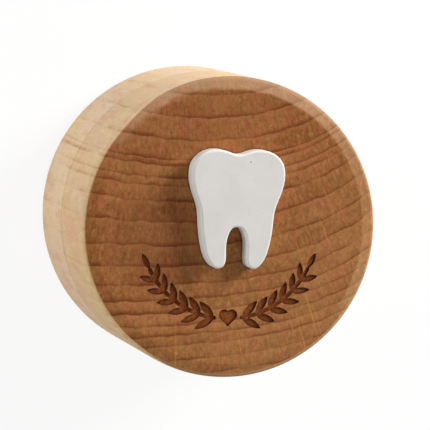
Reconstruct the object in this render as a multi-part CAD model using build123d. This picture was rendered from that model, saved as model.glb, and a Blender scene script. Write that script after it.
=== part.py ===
from build123d import *
import os
from math import cos, radians, sin, sqrt

# Turned round keepsake box: a cup with a collar, a lid that pushes down over the collar,
# and a painted tooth glued to the lid. Millimetres, Z up, origin at the centre of the underside.

# Outside of the closed box
body_diameter = 60.0
base_height = 19.1
lid_height = 19.9
foot_round = 1.1
seam_ease = 0.2

# Lid face: a flat disc, a shallow bevel round it, and a rounded corner
bevel_width = 2.75
bevel_drop = 0.55
corner_round = 0.95

# Collar joint between the two halves
lid_skirt_wall = 4.4
collar_wall = 3.0
collar_height = 5.0
collar_lead = 0.5
collar_headroom = 0.4
fit_clearance = 0.1
mouth_ease = 0.3

# Hollow inside
floor_thickness = 5.0
lid_top_thickness = 7.0
cavity_round = 2.5
ceiling_round = 2.0

# Painted tooth on the lid face, placed by its middle, with its crown towards +Y
tooth_width = 18.9
tooth_height = 23.5
tooth_thickness = 3.6
tooth_edge_round = 0.45
tooth_offset_x = 0.6
tooth_offset_y = 3.95
tooth_turn_angle = -0.7

# Engraved border under the tooth: a heart between two leafy sprigs that follow the rim
engraving_depth = 0.4
border_inset = 9.1
sprig_start_angle = 9.0
sprig_end_angle = 63.0
stem_stroke = 0.8
leaf_length = 4.5
leaf_width = 1.5
leaf_splay_angle = 38.0
leaf_pairs = 6
tip_leaf_share = 0.8
heart_side = 2.2
quarter_turn = 90.0

# How far a cutting shape runs past the face it cuts, and how near an edge must lie to be picked
overrun = 1.0
pick_tolerance = 0.01

# Right half of the tooth from the dip in its crown to the top of the gap between its roots:
# share of the half width from the middle line, share of the height from the root tips
tooth_half_shares = [
    (0, 0.96),
    (0.2, 0.98),
    (0.44, 1),
    (0.76, 0.97),
    (0.95, 0.89),
    (1, 0.78),
    (0.94, 0.65),
    (0.81, 0.5),
    (0.77, 0.36),
    (0.7, 0.18),
    (0.55, 0.04),
    (0.4, 0),
    (0.27, 0.02),
    (0.22, 0.09),
    (0.22, 0.21),
    (0.14, 0.32),
    (0, 0.35),
]

# Radii and heights that follow from the sizes above
body_radius = body_diameter / 2
face_radius = body_radius - bevel_width
socket_radius = body_radius - lid_skirt_wall
collar_radius = socket_radius - fit_clearance
cavity_radius = collar_radius - collar_wall
collar_top = base_height + collar_height
socket_top = collar_top + collar_headroom
face_height = base_height + lid_height
bevel_height = face_height - bevel_drop
ceiling_height = face_height - lid_top_thickness
border_radius = face_radius - border_inset


def turned(outline):
    """Solid turned about Z from corners given as (radius, height)."""
    profile = make_face(Plane.XZ * Polyline(*outline, close=True))
    return revolve(profile, Axis.Z)


def circles(solid, radius, height):
    """Circular edges of the solid with this radius, at this height."""
    found = []
    for edge in solid.edges().filter_by(GeomType.CIRCLE):
        same_radius = abs(edge.radius - radius) < pick_tolerance
        same_height = abs(edge.center().Z - height) < pick_tolerance
        if same_radius and same_height:
            found.append(edge)
    return found


def make_base():
    """Cup with a flat underside, a shoulder that carries the lid, and a collar."""
    solid = turned([
        (0, 0),
        (body_radius, 0),
        (body_radius, base_height),
        (collar_radius, base_height),
        (collar_radius, collar_top),
        (cavity_radius, collar_top),
        (cavity_radius, floor_thickness),
        (0, floor_thickness),
    ])
    solid = fillet(circles(solid, body_radius, 0), foot_round)
    solid = fillet(circles(solid, cavity_radius, floor_thickness), cavity_round)
    solid = chamfer(circles(solid, body_radius, base_height), seam_ease)
    solid = chamfer(circles(solid, collar_radius, collar_top), collar_lead)
    solid = fillet(circles(solid, cavity_radius, collar_top), mouth_ease)
    return solid


def make_leaf(length):
    """Leaf with two pointed ends, from its stalk at the origin along +X."""
    half_width = leaf_width / 2 * length / leaf_length
    upper = ThreePointArc((0, 0), (length / 2, half_width), (length, 0))
    lower = ThreePointArc((length, 0), (length / 2, -half_width), (0, 0))
    return make_face([upper, lower])


def make_sprig(side):
    """Sprig along the rim from the bottom of the face, to the right for side 1, left for -1."""
    first = side * sprig_start_angle - quarter_turn
    sweep = side * (sprig_end_angle - sprig_start_angle)
    sprig = SlotArc(CenterArc((0, 0), border_radius, first, sweep), stem_stroke)
    for index in range(leaf_pairs + 1):
        along = index / leaf_pairs
        angle = first + sweep * along
        length = leaf_length * (1 - along * (1 - tip_leaf_share))
        stalk = Pos(border_radius * cos(radians(angle)), border_radius * sin(radians(angle)))
        heading = angle + side * quarter_turn
        splays = [-leaf_splay_angle, leaf_splay_angle] if index < leaf_pairs else [0]
        for splay in splays:
            sprig += stalk * Rot(0, 0, heading + splay) * make_leaf(length)
    return sprig


def make_heart():
    """Heart on the middle line, its point towards the rim."""
    lobe_offset = heart_side / 2 / sqrt(2)
    shape = Rot(0, 0, quarter_turn / 2) * Rectangle(heart_side, heart_side)
    for side in (-1, 1):
        shape += Pos(side * lobe_offset, lobe_offset) * Circle(heart_side / 2)
    return Pos(0, -border_radius) * shape


def make_lid():
    """Cap with a stepped recess, a bevelled face and the engraved border."""
    solid = turned([
        (0, face_height),
        (face_radius, face_height),
        (body_radius, bevel_height),
        (body_radius, base_height),
        (socket_radius, base_height),
        (socket_radius, socket_top),
        (cavity_radius, socket_top),
        (cavity_radius, ceiling_height),
        (0, ceiling_height),
    ])
    solid = fillet(circles(solid, body_radius, bevel_height), corner_round)
    solid = fillet(circles(solid, cavity_radius, ceiling_height), ceiling_round)
    solid = chamfer(circles(solid, body_radius, base_height), seam_ease)
    solid = chamfer(circles(solid, socket_radius, base_height), mouth_ease)
    border = make_sprig(1) + make_sprig(-1) + make_heart()
    pocket = extrude(Pos(0, 0, face_height - engraving_depth) * border, engraving_depth + overrun)
    return solid - pocket


def make_tooth():
    """Flat tooth with two roots, its back on the lid face and its front edges eased."""
    points = []
    for across, up in tooth_half_shares:
        points.append((across * tooth_width / 2, up * tooth_height - tooth_height / 2))
    right = Spline(*points, tangents=[(1, 0), (-1, 0)])
    left = mirror(right, about=Plane.YZ)
    plate = extrude(make_face([right, left]), tooth_thickness)
    place = Pos(tooth_offset_x, tooth_offset_y, face_height) * Rot(0, 0, tooth_turn_angle)
    plate = place * plate
    front_edges = plate.edges().group_by(Axis.Z)[-1]
    return fillet(front_edges, tooth_edge_round)


os.makedirs("parts", exist_ok=True)
export_step(make_base(), "parts/base.step")
export_step(make_lid(), "parts/lid.step")
export_step(make_tooth(), "parts/tooth_plaque.step")
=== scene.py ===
import math
import bpy
from mathutils import Euler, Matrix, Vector


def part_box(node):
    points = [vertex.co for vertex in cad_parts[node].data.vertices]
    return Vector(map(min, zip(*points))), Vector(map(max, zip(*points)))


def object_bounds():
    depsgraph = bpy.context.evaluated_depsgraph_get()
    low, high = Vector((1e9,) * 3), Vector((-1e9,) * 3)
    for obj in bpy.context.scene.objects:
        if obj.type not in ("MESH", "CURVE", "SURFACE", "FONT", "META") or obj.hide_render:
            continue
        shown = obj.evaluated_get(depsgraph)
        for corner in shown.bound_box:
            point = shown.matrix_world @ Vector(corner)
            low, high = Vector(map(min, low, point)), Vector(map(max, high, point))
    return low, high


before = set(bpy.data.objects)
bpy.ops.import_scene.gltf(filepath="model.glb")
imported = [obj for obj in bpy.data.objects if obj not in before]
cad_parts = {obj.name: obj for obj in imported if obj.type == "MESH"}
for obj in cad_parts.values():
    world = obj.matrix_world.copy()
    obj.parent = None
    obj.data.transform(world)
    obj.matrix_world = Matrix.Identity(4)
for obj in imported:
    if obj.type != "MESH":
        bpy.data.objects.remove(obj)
cad_low, cad_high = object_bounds()

# Lengths are metres, and the shaders work in millimetres
MM = 0.001
PER_M = 1000.0

# Places taken from the frame
lid_low, lid_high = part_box("lid")
body_radius = (lid_high.x - lid_low.x) / 2
face_height = lid_high.z
seam_height = lid_low.z
tooth_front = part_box("tooth_plaque")[1].z

# Camera: square on to the lid's face, then tilted and turned about it by these degrees, as in the
# photograph
view_turn = -14.624
view_tilt = -5.534
view_distance = 0.69319
face_right_of_view = 0.0030
face_below_view = 0.00254
lens_mm = 293.0
sensor_mm = 36.0
nearest_seen = 50 * MM

# Light: how bright the sky is, what share of the light the floor throws back on the box, and how
# far off the lamps stand
sky_level = 0.27
floor_bounce = 0.4
lamp_distance = 0.9

# Floor: half its width, how far it lies under the box, how white it is seen to be near the box, and
# the distances between which it turns plain white
floor_half_width = 3.0
floor_gap = 0.05 * MM
floor_glow = 0.88
white_from = 120 * MM
white_to = 480 * MM

# Wood: where the tree's pith lies beside the box, in millimetres, and the way in which the fibres
# lean off the Z axis
pith_x = -14.0
pith_y = 75.0
# The lean's direction makes the bevel palest on its upper right side. Its paleness there is partly
# the wood's and partly a painted highlight
fibre_lean = math.radians(8.0)
lean_and_highlight_azimuth = math.radians(234.0)

# Annual rings, in millimetres: where the first boundary crosses the Y axis, and the width of each
# ring below it
first_boundary = 35.5
ring_widths = (4.5, 4.5, 4.5, 4.5, 4, 1, 2.5, 1.5, 3, 4, 4.5, 4, 3.5, 3, 2.5, 2.5, 2, 2, 3, 3, 3, 3)

# A boundary rises away from the Y axis by the first amounts times x and its powers, and by y times
# the second amounts times x and its powers, with x and y as shares of bend_length
bend_length = 30.0
rise_across = (3.0, 5.5, 2.0)
rise_across_and_up = (-0.5, 3.5)

# What shows at a boundary, in millimetres: the dark line's width before it, where it is thin and
# where it is thick, and after it, and how far the late and the early wood reach
thin_line = 0.45
thick_line = 1.0
line_after = 0.2
late_wood_width = 1.6
early_wood_width = 1.5

# Painted shadow of the tooth on the wood beside it, in millimetres: its middle, how far it is
# even, and how far it reaches
tooth_shadow_place = (-16.0, -2.0, 0.0)
tooth_shadow_core = 5.0
tooth_shadow_reach = 13.0

# How pale the oiled wood is, by the cosine between its surface's normal and its fibres
paleness = ((0.0, 1.0), (0.963, 1.0), (0.969, 0.6), (0.973, 0.03), (0.98, 0.0), (1.0, 0.0))

# Oil soaks in from both ends. How pale it leaves the bevel and the foot, the bevel on the side that
# the key lamp lights, which is kept less pale there as painted shade, and the lid's rounded corner
end_paleness = 0.28
lamp_side_paleness = 0.08
lamp_side_azimuth = math.radians(10.0)
corner_paleness = 0.34

# How deep the oil goes, in millimetres: on most of the lid, and on its shallow side and the foot.
# On the lid it thins out from there to soak_fade times that depth, and at the foot to foot_soak
deep_soak = 1.3
shallow_soak = 0.38
shallow_azimuth = math.radians(185.0)
soak_fade = 1.45
foot_soak = 0.9

# Engraving: between which depths below the lid's face its floor lies, how far it stays in from the
# side, and how far from an inside corner the burning is darker and the painted shade reaches
engraving_least = 0.02 * MM
engraving_most = 1.0 * MM
engraving_margin = 4.0 * MM
inside_corner_shade_reach = 0.7 * MM

# Pinhole in the paint on the tooth's front, in millimetres
pinhole_place = (2.9, 13.3, tooth_front * PER_M)
pinhole_radius = 0.17

# Relief of wood and paint: how much of it shows, and how deep it is
relief_strength = 0.6
relief_depth = 0.03 * MM

# Where a Mix node that mixes colours keeps their sockets, among those of its other kinds
MIX_FIRST = 6
MIX_SECOND = 7
MIX_RESULT = 2


def srgb(red, green, blue):
    """Colour for a shader socket from its 0 to 255 values on screen."""
    linear = [((c / 255 + 0.055) / 1.055) ** 2.4 for c in (red, green, blue)]
    return (*linear, 1.0)


class Shader:
    """A material's node tree, with short calls for the nodes that the surfaces here use."""

    def __init__(self, name):
        self.material = bpy.data.materials.new(name)
        self.material.use_nodes = True
        self.tree = self.material.node_tree
        self.surface = self.tree.nodes["Principled BSDF"]
        coordinates = self.node("ShaderNodeTexCoord")
        self.place = self.stretch(coordinates.outputs["Object"], (PER_M, PER_M, PER_M))
        self.normal = coordinates.outputs["Normal"]
        self.x, self.y, self.z = self.split(self.place)

    def put(self, socket, value):
        if isinstance(value, bpy.types.NodeSocket):
            self.tree.links.new(value, socket)
        else:
            socket.default_value = value

    def node(self, kind, inputs=None, **settings):
        made = self.tree.nodes.new(kind)
        for name, value in settings.items():
            setattr(made, name, value)
        for key, value in (inputs or {}).items():
            self.put(made.inputs[key], value)
        return made

    def math(self, operation, first, second=0.0):
        return self.node("ShaderNodeMath", {0: first, 1: second}, operation=operation).outputs[0]

    def times(self, first, second):
        return self.math("MULTIPLY", first, second)

    def plus(self, first, second):
        return self.math("ADD", first, second)

    def minus(self, first, second):
        return self.math("SUBTRACT", first, second)

    def series(self, value, amounts):
        """value times the first amount, plus its square times the second, and so on."""
        total = 0.0
        for amount in reversed(amounts):
            total = self.times(self.plus(total, amount), value)
        return total

    def split(self, vector):
        return self.node("ShaderNodeSeparateXYZ", {0: vector}).outputs[:3]

    def vector(self, x, y, z):
        return self.node("ShaderNodeCombineXYZ", {0: x, 1: y, 2: z}).outputs[0]

    def stretch(self, vector, amounts):
        """The vector with its three parts times these amounts."""
        inputs = {0: vector, 1: amounts}
        return self.node("ShaderNodeVectorMath", inputs, operation="MULTIPLY").outputs[0]

    def measure(self, operation, first, second=(0.0, 0.0, 0.0)):
        """A number worked out from two vectors."""
        made = self.node("ShaderNodeVectorMath", {0: first, 1: second}, operation=operation)
        return made.outputs["Value"]

    def from_axis(self):
        """How far the point lies from the turning axis, in millimetres."""
        return self.measure("LENGTH", self.stretch(self.place, (1.0, 1.0, 0.0)))

    def toward(self, azimuth):
        """How far the point lies from the turning axis in this direction, in millimetres."""
        return self.measure("DOT_PRODUCT", self.place, (math.cos(azimuth), math.sin(azimuth), 0.0))

    def ramp(self, value, low, high, bottom, top):
        """value's place between low and high, eased, as a number from bottom to top."""
        limits = {"From Min": low, "From Max": high, "To Min": bottom, "To Max": top}
        made = self.node("ShaderNodeMapRange", limits, interpolation_type="SMOOTHSTEP")
        self.put(made.inputs["Value"], value)
        return made.outputs["Result"]

    def rising(self, value, low, high, share=1.0):
        """0 where value is below low, and share where it is above high."""
        return self.ramp(value, low, high, 0.0, share)

    def falling(self, value, low, high, share=1.0):
        """share where value is below low, and 0 where it is above high."""
        return self.ramp(value, low, high, share, 0.0)

    def mix(self, share, first, second):
        """first with this share of second in it."""
        made = self.node("ShaderNodeMix", data_type="RGBA")
        self.put(made.inputs["Factor"], share)
        self.put(made.inputs[MIX_FIRST], first)
        self.put(made.inputs[MIX_SECOND], second)
        return made.outputs[MIX_RESULT]

    def noise(self, place, blobs, detail=2.0, roughness=0.5):
        """Noise from 0 to 1, with this many blobs to a unit of place along x, y and z."""
        where = self.stretch(place, blobs)
        inputs = {"Vector": where, "Scale": 1.0, "Detail": detail, "Roughness": roughness}
        return self.node("ShaderNodeTexNoise", inputs).outputs[0]

    def wander(self, place, blobs, amount):
        """Noise to both sides of zero, within half of amount."""
        return self.times(self.minus(self.noise(place, blobs), 0.5), amount)

    def curve(self, value, points):
        """Straight-line graph through points, whose values run from 0 to 1 both ways."""
        made = self.node("ShaderNodeFloatCurve", {"Value": value})
        graph = made.mapping.curves[0]
        graph.points[0].location = points[0]
        graph.points[1].location = points[-1]
        for point in points[1:-1]:
            graph.points.new(*point)
        for point in graph.points:
            point.handle_type = "VECTOR"
        made.mapping.update()
        return made.outputs[0]

    def finish(self, colour, roughness, relief, specular):
        """Gives the surface its colour, roughness and relief, and how glossy it is straight on."""
        self.colour = colour
        self.put(self.surface.inputs["Base Color"], colour)
        self.put(self.surface.inputs["Roughness"], roughness)
        self.put(self.surface.inputs["Specular IOR Level"], specular)
        inputs = {"Strength": relief_strength, "Distance": relief_depth, "Height": relief}
        self.put(self.surface.inputs["Normal"], self.node("ShaderNodeBump", inputs).outputs[0])


def ring_graphs():
    """Two graphs over the depth below the first boundary: the count of rings, and the ring's width
    there, which changes over twice half_step at each boundary."""
    half_step = 0.0005
    total = sum(ring_widths)
    widest = max(ring_widths)
    count = [(0.0, 0.0)]
    width = []
    reached = 0.0
    for index, ring in enumerate(ring_widths):
        width.append((reached / total + half_step, ring / widest))
        reached += ring
        count.append((reached / total, (index + 1) / len(ring_widths)))
        width.append((reached / total - half_step, ring / widest))
    return count, width


class Beech(Shader):
    """Sanded and oiled beech, brown on the end grain and pale along the fibres. Distances here are
    millimetres, and shares run from 0 to 1."""

    def __init__(self, name, near_pith, far_from_pith):
        super().__init__(name)
        self.from_face = self.minus(face_height * PER_M, self.z)
        self.lower_right = self.rising(self.minus(self.x, self.y), -8.0, 34.0)
        self.find_ring()
        self.find_rays()
        self.find_spots()
        # The lid's rounded corner takes painted shade, darkest on the shallow side
        brown = self.mix(self.painted_corner_shade(), self.brown(), srgb(106, 72, 46))
        colour = self.mix(self.pale_share(), brown, self.pale(near_pith, far_from_pith))
        from_seam = self.math("ABSOLUTE", self.minus(self.z, seam_height * PER_M))
        seam = self.falling(from_seam, 0.08, 0.32, 0.38)
        colour = self.mix(seam, colour, srgb(150, 122, 70))
        roughness = self.ramp(self.fibre, 0.3, 0.8, 0.52, 0.66)
        self.finish(colour, roughness, self.relief(), specular=0.16)

    def across_face(self, upper_left, lower_right):
        """A number that goes from one to the other across the lid's face."""
        return self.ramp(self.lower_right, 0.0, 1.0, upper_left, lower_right)

    def ring_depth(self):
        """Millimetres below the first boundary, which is bent, drifts below the face, and waves."""
        across = self.math("DIVIDE", self.x, bend_length)
        up = self.math("DIVIDE", self.y, bend_length)
        slant = self.times(up, self.series(across, rise_across_and_up))
        rise = self.plus(self.series(across, rise_across), slant)
        below_face = self.falling(self.z, 0.0, face_height * PER_M)
        drift = self.times(self.wander(self.place, (0.05, 0.05, 0.03), 2.0), below_face)
        wave = self.wander(self.place, (0.3, 0.09, 0.03), 1.1)
        straight = self.minus(self.plus(rise, first_boundary), self.y)
        return self.plus(self.plus(straight, drift), wave)

    def find_ring(self):
        """The ring's tone, the dark line at its boundary, and the late and early wood beside it."""
        count_graph, width_graph = ring_graphs()
        reach = self.math("DIVIDE", self.ring_depth(), sum(ring_widths))
        count = self.times(self.curve(reach, count_graph), len(ring_widths))
        width = self.times(self.curve(reach, width_graph), max(ring_widths))
        whole = self.math("FLOOR", count)
        self.tone = self.noise(self.vector(self.x, whole, 0.0), (0.04, 3.1, 0.0))
        nearest = self.math("ROUND", count)
        varied = self.noise(self.vector(self.x, nearest, self.z), (0.13, 3.7, 0.02))
        strength = self.times(self.ramp(varied, 0.3, 0.68, 0.3, 1.0), self.across_face(1.0, 0.7))
        line_width = self.ramp(varied, 0.3, 0.7, thin_line, thick_line)
        line_before = self.times(line_width, self.across_face(1.0, 0.6))
        ring = self.math("FRACT", count)
        before_edge = self.times(self.minus(1.0, ring), width)
        after_edge = self.times(ring, width)
        before = self.falling(before_edge, 0.0, line_before)
        after = self.falling(after_edge, 0.0, line_after)
        self.line = self.times(self.math("MAXIMUM", before, after), strength)
        self.late_wood = self.times(self.falling(before_edge, 0.0, late_wood_width), strength)
        self.early_wood = self.falling(after_edge, line_after, early_wood_width)

    def find_rays(self):
        """Rays are thin sheets that run out from the pith. The long ones show where the cut follows
        them."""
        right = self.minus(self.x, pith_x)
        down = self.minus(pith_y, self.y)
        self.from_pith = self.measure("LENGTH", self.vector(right, down, 0.0))
        around = self.times(self.math("ARCTAN2", right, down), pith_y)
        self.polar = self.vector(around, self.from_pith, self.z)
        long_noise = self.noise(self.polar, (2.4, 0.045, 0.3), detail=1.0)
        short_noise = self.noise(self.polar, (3.6, 0.28, 0.7), detail=1.0)
        self.long_ray = self.times(self.rising(long_noise, 0.66, 0.72), self.across_face(0.12, 1.0))
        self.short_ray = self.rising(short_noise, 0.6, 0.8)

    def find_spots(self):
        """Fibres round the pith, flecks, open pores, and smaller and larger blotches."""
        self.fibre = self.noise(self.polar, (1.9, 0.75, 0.12), detail=3.0, roughness=0.65)
        self.fleck = self.noise(self.place, (1.35, 0.95, 0.3), detail=4.0, roughness=0.7)
        self.pore = self.noise(self.place, (5.0, 5.0, 0.5), detail=2.0, roughness=0.6)
        self.blush = self.noise(self.place, (0.42, 0.3, 0.12), detail=3.0, roughness=0.6)
        self.cloud = self.noise(self.place, (0.1, 0.1, 0.04), detail=3.0, roughness=0.6)

    def brown(self):
        """The wood where it is cut across its fibres, which soak up the oil."""
        clouded = self.rising(self.cloud, 0.35, 0.65)
        colour = self.mix(clouded, srgb(134, 77, 32), srgb(150, 95, 47))
        # Whole rings that are lighter or darker than the others
        colour = self.mix(self.rising(self.tone, 0.42, 0.66, 0.6), colour, srgb(172, 112, 64))
        colour = self.mix(self.falling(self.tone, 0.32, 0.48, 0.5), colour, srgb(128, 86, 38))
        # Reddish and olive blotches
        colour = self.mix(self.rising(self.blush, 0.48, 0.7, 0.85), colour, srgb(160, 84, 54))
        colour = self.mix(self.falling(self.blush, 0.3, 0.46, 0.8), colour, srgb(132, 92, 38))
        # Light and dark fibres, then light and dark flecks
        colour = self.mix(self.rising(self.fibre, 0.4, 0.75, 0.5), colour, srgb(182, 126, 72))
        colour = self.mix(self.falling(self.fibre, 0.25, 0.5, 0.45), colour, srgb(112, 60, 22))
        colour = self.mix(self.rising(self.fleck, 0.52, 0.7, 0.75), colour, srgb(186, 126, 80))
        colour = self.mix(self.falling(self.fleck, 0.3, 0.48, 0.62), colour, srgb(102, 56, 20))
        # Darker towards the pith, lighter to the lower right, and the tooth's painted shadow
        dark_end = self.falling(self.from_pith, 52.0, 72.0, 0.3)
        colour = self.mix(dark_end, colour, srgb(116, 62, 26))
        colour = self.mix(self.times(self.lower_right, 0.22), colour, srgb(176, 130, 82))
        # Painted shadow of the tooth: darker brown on the wood to its left and below it
        from_tooth_shadow = self.measure("DISTANCE", self.vector(self.x, self.y, 0.0), tooth_shadow_place)
        tooth_shadow = self.falling(from_tooth_shadow, tooth_shadow_core, tooth_shadow_reach, 0.42)
        colour = self.mix(tooth_shadow, colour, srgb(102, 54, 22))
        # Open pores
        colour = self.mix(self.rising(self.pore, 0.42, 0.72, 0.4), colour, srgb(104, 56, 22))
        # Early wood, late wood, and the line between them
        colour = self.mix(self.times(self.early_wood, 0.16), colour, srgb(182, 124, 70))
        colour = self.mix(self.times(self.late_wood, 0.4), colour, srgb(116, 62, 26))
        colour = self.mix(self.times(self.line, 0.82), colour, srgb(100, 42, 8))
        # Rays
        colour = self.mix(self.times(self.short_ray, 0.2), colour, srgb(200, 144, 88))
        return self.mix(self.times(self.long_ray, 0.32), colour, srgb(214, 148, 78))

    def pale(self, near_pith, far_from_pith):
        """The same wood cut along its fibres, where rings and rays show faintly, and in patches."""
        wandering = self.wander(self.place, (0.12, 0.12, 0.05), 50.0)
        toned = self.plus(self.from_pith, wandering)
        colour = self.mix(self.rising(toned, 55.0, 95.0), near_pith, far_from_pith)
        high_up = self.ramp(self.y, -8.0, 12.0, 0.35, 1.0)
        shown = self.times(high_up, self.ramp(self.cloud, 0.42, 0.58, 0.3, 1.0))
        line_shown = self.times(shown, self.ramp(self.blush, 0.4, 0.56, 0.25, 1.0))
        # Pinkish and yellowish blotches, and light fibres
        colour = self.mix(self.rising(self.blush, 0.48, 0.66, 0.6), colour, srgb(234, 176, 140))
        colour = self.mix(self.falling(self.blush, 0.3, 0.45, 0.5), colour, srgb(244, 214, 152))
        colour = self.mix(self.rising(self.cloud, 0.45, 0.7, 0.4), colour, srgb(240, 208, 140))
        colour = self.mix(self.rising(self.fibre, 0.45, 0.75, 0.35), colour, srgb(250, 222, 182))
        # Late wood, flecks, and the line between the rings
        late_wood = self.times(self.times(self.late_wood, 0.26), shown)
        colour = self.mix(late_wood, colour, srgb(204, 158, 104))
        colour = self.mix(self.rising(self.fleck, 0.52, 0.7, 0.4), colour, srgb(248, 220, 184))
        colour = self.mix(self.falling(self.fleck, 0.3, 0.48, 0.24), colour, srgb(206, 148, 104))
        line = self.times(self.times(self.line, 0.62), line_shown)
        colour = self.mix(line, colour, srgb(176, 112, 52))
        # Rays and open pores
        short_ray = self.times(self.times(self.short_ray, 0.42), shown)
        colour = self.mix(short_ray, colour, srgb(196, 140, 92))
        colour = self.mix(self.times(self.long_ray, 0.2), colour, srgb(184, 138, 94))
        return self.mix(self.rising(self.pore, 0.5, 0.75, 0.18), colour, srgb(176, 136, 96))

    def pale_share(self):
        """How far the wood is pale, by how the cut lies to its fibres and where the oil comes, with
        a painted highlight and painted shade on the bevel.
        """
        sideways = math.sin(fibre_lean)
        lean_x = sideways * math.cos(lean_and_highlight_azimuth)
        lean_y = sideways * math.sin(lean_and_highlight_azimuth)
        fibres = (lean_x, lean_y, math.cos(fibre_lean))
        facing = self.math("ABSOLUTE", self.measure("DOT_PRODUCT", self.normal, fibres))
        bare = self.times(self.oil_paleness(), self.off_face())
        return self.times(self.curve(facing, paleness), bare)

    def oil_paleness(self):
        """How pale the oil at both ends leaves the wood, with painted shade on the bevel's side
        toward the
        key lamp: 1 where none of it comes.
        """
        soak = self.ramp(self.toward(shallow_azimuth), 4.0, 20.0, deep_soak, shallow_soak)
        # Painted shade: the bevel is less pale on the side that the key lamp lights
        lamp_side = self.toward(lamp_side_azimuth)
        on_bevel = self.ramp(lamp_side, 20.0, 30.0, end_paleness, lamp_side_paleness)
        near_face = self.ramp(self.from_face, 0.4, 0.7, on_bevel, corner_paleness)
        above = self.ramp(self.from_face, soak, self.times(soak, soak_fade), near_face, 1.0)
        below = self.ramp(self.z, shallow_soak, foot_soak, end_paleness, 1.0)
        return self.math("MINIMUM", above, below)

    def off_face(self):
        """0 on the lid's face and 1 below it, with an edge between them that is ragged and wide on
        the left."""
        raggedness = self.ramp(self.x, -12.0, 4.0, 1.0, 0.3)
        ragged = self.times(self.wander(self.place, (0.5, 0.5, 0.4), 0.4), raggedness)
        edge_width = self.ramp(self.x, -12.0, 4.0, 0.3, 0.12)
        return self.rising(self.plus(self.from_face, ragged), 0.0, edge_width)

    def painted_corner_shade(self):
        """How much painted shade darkens the lid's rounded corner, which is most on the shallow
        side.
        """
        below_bevel = self.rising(self.from_face, 0.35, 0.7)
        corner = self.times(below_bevel, self.falling(self.from_face, 1.3, 1.6))
        return self.times(corner, self.ramp(self.toward(shallow_azimuth), -20.0, 10.0, 0.15, 0.6))

    def relief(self):
        """Open pores, raised fibres, the sunk line between the rings, and the marks of the lathe
        round the Z axis."""
        round_axis = self.vector(self.from_axis(), 0.0, self.z)
        marks = self.noise(round_axis, (1.8, 1.8, 1.8), detail=3.0, roughness=0.6)
        grooves = self.plus(self.times(self.pore, -0.5), self.times(self.fibre, 0.6))
        lined = self.plus(grooves, self.times(self.line, -0.3))
        return self.plus(lined, self.times(marks, 0.5))

    def add_engraving(self):
        """Below the face, inside the bevel, is the floor of the engraving, burnt darkest at its
        edges. Painted shade darkens the wood along the tooth and in other inside corners."""
        below = self.math("LESS_THAN", self.z, (face_height - engraving_least) * PER_M)
        above = self.math("GREATER_THAN", self.z, (face_height - engraving_most) * PER_M)
        inside = self.math("LESS_THAN", self.from_axis(), (body_radius - engraving_margin) * PER_M)
        burnt = self.times(self.times(below, above), inside)
        corners = self.node("ShaderNodeAmbientOcclusion", {"Distance": inside_corner_shade_reach}, samples=8)
        openness = corners.outputs["AO"]
        char = self.noise(self.place, (1.6, 1.6, 1.6), detail=3.0, roughness=0.6)
        floor = self.mix(self.rising(char, 0.35, 0.7), srgb(104, 48, 14), srgb(140, 74, 26))
        burn = self.mix(self.rising(openness, 0.45, 0.95), srgb(68, 24, 6), floor)
        # Painted shade: the wood is darker close to the tooth and in other inside corners
        inside_shade = self.falling(openness, 0.5, 0.95, 0.6)
        inside_shaded = self.mix(inside_shade, self.colour, srgb(62, 34, 10))
        self.put(self.surface.inputs["Base Color"], self.mix(burnt, inside_shaded, burn))


class Paint(Shader):
    """Matt white paint over sanded plywood, with its side walls painted lighter as painted light,
    faint brush marks and a pinhole."""

    def __init__(self, name):
        super().__init__(name)
        brush = self.noise(self.place, (0.7, 4.0, 1.0), detail=3.0, roughness=0.6)
        mottle = self.noise(self.place, (0.2, 0.2, 0.2))
        grain = self.noise(self.place, (7.0, 7.0, 7.0))
        colour = self.mix(self.rising(mottle, 0.3, 0.7), srgb(214, 210, 204), srgb(219, 215, 211))
        colour = self.mix(self.rising(brush, 0.45, 0.8, 0.3), colour, srgb(206, 202, 196))
        # Painted light: the side walls are painted lighter and greener than the front
        below_front = self.minus(tooth_front * PER_M, self.z)
        down_wall = self.rising(below_front, 0.0, 2.0)
        lit_wall_paint = self.mix(down_wall, srgb(236, 240, 236), srgb(226, 228, 220))
        colour = self.mix(self.rising(below_front, 0.02, 0.3), colour, lit_wall_paint)
        from_pinhole = self.measure("DISTANCE", self.place, pinhole_place)
        pinhole = self.falling(from_pinhole, pinhole_radius * 0.4, pinhole_radius * 1.6)
        colour = self.mix(self.times(pinhole, 0.7), colour, srgb(128, 126, 122))
        painted = self.plus(self.times(grain, 0.35), brush)
        relief = self.minus(painted, self.times(pinhole, 3.0))
        self.finish(colour, self.ramp(brush, 0.3, 0.8, 0.5, 0.6), relief, specular=0.5)


def dress(node, shader):
    """The CAD node keeps its mesh and takes this shader's material."""
    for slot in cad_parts[node].material_slots:
        slot.material = shader.material


def combine(tree, operation, first, second):
    """One number worked out from two sockets."""
    made = tree.nodes.new("ShaderNodeMath")
    made.operation = operation
    tree.links.new(first, made.inputs[0])
    tree.links.new(second, made.inputs[1])
    return made.outputs[0]


def between(tree, value, low, high, start=0.0, end=1.0):
    """A number that goes from low, where value is start, to high, where it is end."""
    made = tree.nodes.new("ShaderNodeMapRange")
    made.inputs["From Min"].default_value = start
    made.inputs["From Max"].default_value = end
    made.inputs["To Min"].default_value = low
    made.inputs["To Max"].default_value = high
    tree.links.new(value, made.inputs["Value"])
    return made.outputs["Result"]


def seen_directly(tree):
    """1 for rays from the camera, or seen in gloss or through glass, and 0 for the light that falls
    on things."""
    path = tree.nodes.new("ShaderNodeLightPath")
    seen = path.outputs["Is Camera Ray"]
    for name in ("Is Glossy Ray", "Is Transmission Ray"):
        seen = combine(tree, "MAXIMUM", seen, path.outputs[name])
    return seen


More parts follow.
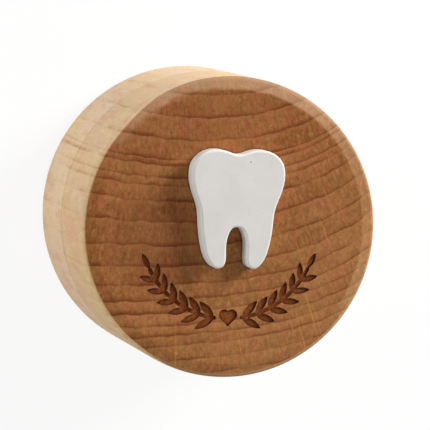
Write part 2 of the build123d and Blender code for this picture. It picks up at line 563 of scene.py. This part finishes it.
def make_floor_material():
    """White that keeps a faint shadow near the box and throws back only some of the light."""
    material = bpy.data.materials.new("floor_white")
    material.use_nodes = True
    tree = material.node_tree
    seen = seen_directly(tree)
    matt = tree.nodes["Principled BSDF"]
    tree.links.new(between(tree, seen, floor_bounce, 1.0), matt.inputs["Base Color"])
    matt.inputs["Roughness"].default_value = 0.9
    matt.inputs["Specular IOR Level"].default_value = 0.0
    away = tree.nodes.new("ShaderNodeVectorMath")
    away.operation = "LENGTH"
    tree.links.new(tree.nodes.new("ShaderNodeTexCoord").outputs["Object"], away.inputs[0])
    glow = between(tree, away.outputs["Value"], floor_glow, 1.0, white_from, white_to)
    white = tree.nodes.new("ShaderNodeEmission")
    blend = tree.nodes.new("ShaderNodeMixShader")
    tree.links.new(combine(tree, "MULTIPLY", seen, glow), blend.inputs[0])
    tree.links.new(matt.outputs[0], blend.inputs[1])
    tree.links.new(white.outputs[0], blend.inputs[2])
    tree.links.new(blend.outputs[0], tree.nodes["Material Output"].inputs["Surface"])
    return material


def make_floor():
    """Wide flat floor just under the box."""
    half = floor_half_width
    mesh = bpy.data.meshes.new("floor")
    corners = [(-half, -half, 0), (half, -half, 0), (half, half, 0), (-half, half, 0)]
    mesh.from_pydata(corners, [], [(0, 1, 2, 3)])
    mesh.materials.append(make_floor_material())
    floor = bpy.data.objects.new("floor", mesh)
    floor.location.z = cad_low.z - floor_gap
    bpy.context.scene.collection.objects.link(floor)


def make_world():
    """Even daylight from all round, which is seen as plain white."""
    world = bpy.data.worlds.new("studio")
    bpy.context.scene.world = world
    world.use_nodes = True
    tree = world.node_tree
    background = tree.nodes["Background"]
    background.inputs["Color"].default_value = (1.0, 1.0, 1.0, 1.0)
    strength = between(tree, seen_directly(tree), sky_level, 1.0)
    tree.links.new(strength, background.inputs["Strength"])


def make_lamp(name, azimuth, elevation, size, level):
    """Square soft lamp aimed at the box. level is what it adds to a white surface that faces it."""
    lamp = bpy.data.lights.new(name, "AREA")
    lamp.size = size
    lamp.energy = level * (math.pi * lamp_distance) ** 2
    turned = math.radians(azimuth)
    raised = math.radians(elevation)
    out = math.cos(raised)
    away = Vector((math.cos(turned) * out, math.sin(turned) * out, math.sin(raised)))
    stand = bpy.data.objects.new(name, lamp)
    stand.location = Vector((0, 0, seam_height)) + away * lamp_distance
    stand.rotation_mode = "QUATERNION"
    stand.rotation_quaternion = away.to_track_quat("Z", "Y")
    bpy.context.scene.collection.objects.link(stand)


def make_camera():
    """Long lens over the lid, turned and tilted as the photograph sees it."""
    data = bpy.data.cameras.new("camera")
    data.lens = lens_mm
    data.sensor_width = sensor_mm
    data.clip_start = nearest_seen
    camera = bpy.data.objects.new("camera", data)
    camera.rotation_mode = "YXZ"
    camera.rotation_euler = (math.radians(view_tilt), math.radians(view_turn), 0)
    axes = Euler(camera.rotation_euler, "YXZ").to_matrix()
    right, up, back = axes.col[0], axes.col[1], axes.col[2]
    face = Vector((0, 0, face_height))
    beside_face = face - face_right_of_view * right + face_below_view * up
    camera.location = beside_face + view_distance * back
    bpy.context.scene.collection.objects.link(camera)
    bpy.context.scene.camera = camera


make_camera()
make_floor()
make_world()
make_lamp("key_lamp", azimuth=36, elevation=25, size=0.34, level=1.27)
make_lamp("side_lamp", azimuth=160, elevation=12, size=0.6, level=0.58)
make_lamp("back_lamp", azimuth=290, elevation=25, size=0.6, level=0.2)

base_wood = Beech("beech_base", near_pith=srgb(240, 210, 176), far_from_pith=srgb(246, 212, 174))
lid_wood = Beech("beech_lid", near_pith=srgb(229, 196, 156), far_from_pith=srgb(230, 194, 138))
lid_wood.add_engraving()
dress("base", base_wood)
dress("lid", lid_wood)
dress("tooth_plaque", Paint("white_paint_matt"))

bpy.context.scene.view_settings.view_transform = "Standard"
